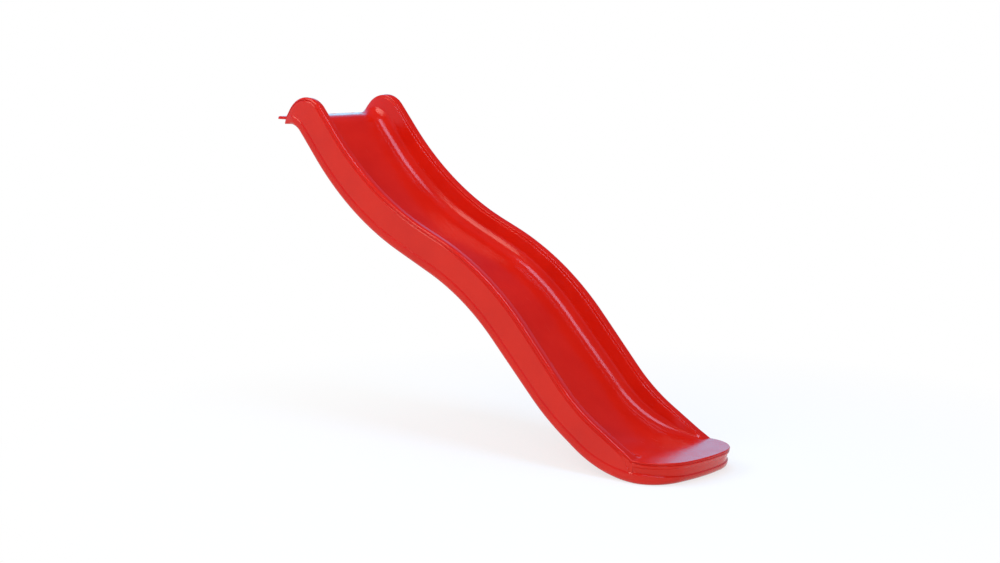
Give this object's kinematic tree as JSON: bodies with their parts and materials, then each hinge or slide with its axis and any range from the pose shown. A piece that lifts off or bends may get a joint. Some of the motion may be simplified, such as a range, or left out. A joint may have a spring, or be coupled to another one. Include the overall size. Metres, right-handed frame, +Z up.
{
  "type": "playground slide",
  "caption": "Wave-shaped playground slide in glossy moulded plastic, with raised rims, rounded heads at the top, an entry lip to screw to a platform and a rounded foot.",
  "frame": {"origin": "middle of the entry lip's flat underside, which rests on the platform's floor", "axes": "+X runs level downhill from the lip to the foot, +Y across the slide, +Z up"},
  "size_m": [1.997, 0.489, 1.2917],
  "materials": {
    "deck_plastic": "glossy red moulded polyethylene, lightly scuffed on the riding bed",
    "base_plastic": "glossy red moulded polyethylene",
    "screw_steel": "zinc-plated steel, satin",
    "washer_steel": "zinc-plated steel, satin"
  },
  "bodies": {
    "root": {"deck_shell": "deck_plastic", "base_shell": "base_plastic", "lip_screw_1": "screw_steel", "lip_screw_2": "screw_steel", "lip_screw_3": "screw_steel", "lip_screw_4": "screw_steel", "lip_washer_1": "washer_steel", "lip_washer_2": "washer_steel", "lip_washer_3": "washer_steel", "lip_washer_4": "washer_steel"}
  },
  "joints": []
}
